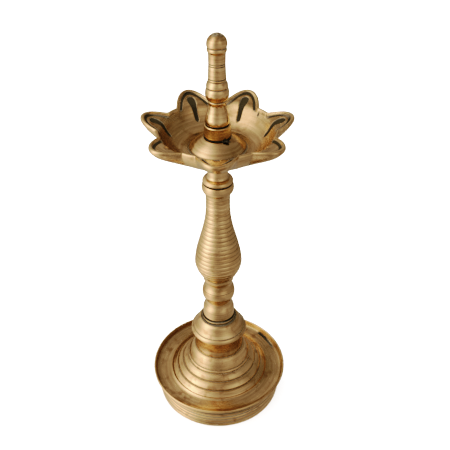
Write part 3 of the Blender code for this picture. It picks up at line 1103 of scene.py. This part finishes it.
pitch_black = dull_material(
    "pitch_black",
    light=(0.045, 0.036, 0.028),
    dark=(0.008, 0.007, 0.006),
    scale=900.0,
    roughness=0.5,
    relief=0.15,
)
seal = spin("seal_ring", washer("bowl_seal", TENON_HOLE, 0.25), True, 96, blackening=0.0, seed=9.0)
finish_piece(seal, pitch_black, "bowl", "bowl_seal")
lump_azimuth = math.radians(36)
lump_reach = 11.6
lump_place = (lump_reach * math.sin(lump_azimuth), -lump_reach * math.cos(lump_azimuth), 273.7)
lump = blob("seal_lump", lump_place, size=(2.6, 1.5, 0.9), seed=2.0)
lump.data.materials.append(pitch_black)
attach(lump, "bowl")

hide = dull_material(
    "packing_hide",
    light=(0.05, 0.036, 0.024),
    dark=(0.014, 0.010, 0.007),
    scale=1400.0,
    roughness=0.75,
    relief=0.1,
)
for node, hole in (("bowl_packing", PACKING_HOLE), ("finial_packing", FINIAL_PACKING_HOLE)):
    pad = spin(node + "_hide", washer(node, hole, 0.15), True, 96, blackening=0.0, seed=10.0)
    finish_piece(pad, hide, node, node)


# Floor, surroundings and camera


def add_floor():
    mesh = bpy.data.meshes.new("floor")
    half = 4.0
    corners = [(-half, -half, 0), (half, -half, 0), (half, half, 0), (-half, half, 0)]
    mesh.from_pydata(corners, [], [(0, 1, 2, 3)])
    floor = add_object("floor", mesh)
    floor.location.z = CAD_BOX[0][2] - 0.0002
    material, nodes, links = new_material("floor_white")
    shader = nodes["Principled BSDF"]
    shader.inputs["Base Color"].default_value = (0.93, 0.93, 0.93, 1)
    shader.inputs["Roughness"].default_value = 0.9
    shader.inputs["Specular IOR Level"].default_value = 0.1
    mesh.materials.append(material)
    floor.visible_glossy = False


def direction_of(azimuth, elevation):
    """The unit vector towards an azimuth and elevation, in degrees."""
    around = math.radians(azimuth)
    up = math.radians(elevation)
    return (math.sin(around) * math.cos(up), -math.cos(around) * math.cos(up), math.sin(up))


def add_world():
    """Soft surroundings that the metal mirrors, from LOBES; the camera sees plain white there."""
    world = bpy.data.worlds.new("studio")
    bpy.context.scene.world = world
    world.use_nodes = True
    nodes = world.node_tree.nodes
    links = world.node_tree.links
    background = nodes["Background"]
    background.inputs["Color"].default_value = (*WARM_LIGHT, 1)
    direction = nodes.new("ShaderNodeTexCoord").outputs["Generated"]

    def lobe(azimuth, elevation, tightness, strength):
        dot = nodes.new("ShaderNodeVectorMath")
        dot.operation = "DOT_PRODUCT"
        dot.inputs[1].default_value = direction_of(azimuth, elevation)
        links.new(direction, dot.inputs[0])
        shift = nodes.new("ShaderNodeMath")
        shift.operation = "MULTIPLY_ADD"
        shift.inputs[1].default_value = tightness
        shift.inputs[2].default_value = -tightness
        links.new(dot.outputs["Value"], shift.inputs[0])
        power = nodes.new("ShaderNodeMath")
        power.operation = "EXPONENT"
        links.new(shift.outputs[0], power.inputs[0])
        scale = nodes.new("ShaderNodeMath")
        scale.operation = "MULTIPLY"
        scale.inputs[1].default_value = strength
        links.new(power.outputs[0], scale.inputs[0])
        return scale.outputs[0]

    total = None
    for settings in LOBES:
        value = lobe(*settings)
        if total is None:
            total = value
            continue
        add = nodes.new("ShaderNodeMath")
        add.operation = "ADD"
        links.new(total, add.inputs[0])
        links.new(value, add.inputs[1])
        total = add.outputs[0]
    base_level = nodes.new("ShaderNodeMath")
    base_level.operation = "ADD"
    base_level.inputs[1].default_value = AMBIENT
    links.new(total, base_level.inputs[0])
    links.new(base_level.outputs[0], background.inputs["Strength"])
    backdrop = nodes.new("ShaderNodeBackground")
    backdrop.inputs["Color"].default_value = (1, 1, 1, 1)
    backdrop.inputs["Strength"].default_value = BACKDROP_STRENGTH
    choose = nodes.new("ShaderNodeMixShader")
    links.new(nodes.new("ShaderNodeLightPath").outputs["Is Camera Ray"], choose.inputs[0])
    links.new(background.outputs[0], choose.inputs[1])
    links.new(backdrop.outputs[0], choose.inputs[2])
    links.new(choose.outputs[0], nodes["World Output"].inputs["Surface"])


def add_sun(azimuth, elevation, strength):
    """A very wide soft light, mostly for the floor: bare metal doesn't mirror it."""
    data = bpy.data.lights.new("floor_light", "SUN")
    data.energy = strength
    data.angle = FLOOR_LIGHT_SPREAD
    light = bpy.data.objects.new("floor_light", data)
    bpy.context.scene.collection.objects.link(light)
    towards = Vector(direction_of(azimuth, elevation))
    light.rotation_euler = towards.to_track_quat("Z", "Y").to_euler()
    light.visible_glossy = False


def set_tone():
    """Gives the picture its contrast, and its green and blue their own slight curves."""
    view = bpy.context.scene.view_settings
    view.view_transform = "Standard"
    view.use_curve_mapping = True
    mapping = view.curve_mapping
    mapping.white_level = (TONE_WHITE, TONE_WHITE, TONE_WHITE)
    curve = mapping.curves[3]
    for scene_level, picture_level in TONE[1:-1]:
        curve.points.new(scene_level / TONE_WHITE, picture_level)
    for channel, levels in ((1, GREEN_TONE), (2, BLUE_TONE)):
        for plain_level, graded_level in levels:
            mapping.curves[channel].points.new(plain_level, graded_level)
    mapping.update()


WARM_LIGHT = (1.0, 0.835, 0.68)
BACKDROP_STRENGTH = 2.5
AMBIENT = 0.30
FLOOR_LIGHT_SPREAD = math.radians(150)
# (azimuth, elevation, tightness, strength) of the broad bright areas around the lamp
LOBES = (
    (-60, 38, 9, 1.30),
    (-62, 8, 9, 1.85),
    (-66, -22, 9, 0.80),
    (-80, -55, 6, 0.85),
    (-110, 20, 5, 0.40),
    (-130, -35, 5, 0.26),
    (36, 25, 12, 0.55),
    (40, -20, 8, 0.19),
    (0, 0, 6, 0.14),
    (85, -5, 6, 0.16),
    (180, 40, 4, 0.15),
    (120, -50, 5, 0.15),
    (-60, 75, 6, 0.15),
    (-90, 54, 24, 1.05),
)
# How the picture's brightness follows the scene's, with a soft toe and a long shoulder
TONE_WHITE = 2.2
TONE = (
    (0.0, 0.0),
    (0.05, 0.006),
    (0.096, 0.02),
    (0.21, 0.11),
    (0.32, 0.235),
    (0.48, 0.39),
    (1.06, 0.70),
    (1.6, 0.90),
    (TONE_WHITE, 1.0),
)
# (plain level, graded level) of the two channels, which warm most of the lighter tones
GREEN_TONE = (
    (0.038, 0.040),
    (0.127, 0.133),
    (0.198, 0.202),
    (0.333, 0.308),
    (0.474, 0.440),
    (0.6, 0.585),
)
BLUE_TONE = (
    (0.0356, 0.034),
    (0.058, 0.062),
    (0.12, 0.119),
    (0.246, 0.204),
    (0.381, 0.325),
    (0.49, 0.462),
)
CAMERA_PLACE = (0.00575, -0.46313, 0.52495)
CAMERA_PITCH = math.radians(35.91)
CAMERA_LENS = 54.81

add_floor()
add_world()
add_sun(azimuth=-50, elevation=70, strength=12.0)

camera_data = bpy.data.cameras.new("camera")
camera_data.lens = CAMERA_LENS
camera_data.sensor_width = 36.0
camera_data.clip_start = 0.01
camera = bpy.data.objects.new("camera", camera_data)
bpy.context.scene.collection.objects.link(camera)
camera.location = CAMERA_PLACE
camera.rotation_euler = (math.pi / 2 - CAMERA_PITCH, 0.0, 0.0)
bpy.context.scene.camera = camera
set_tone()
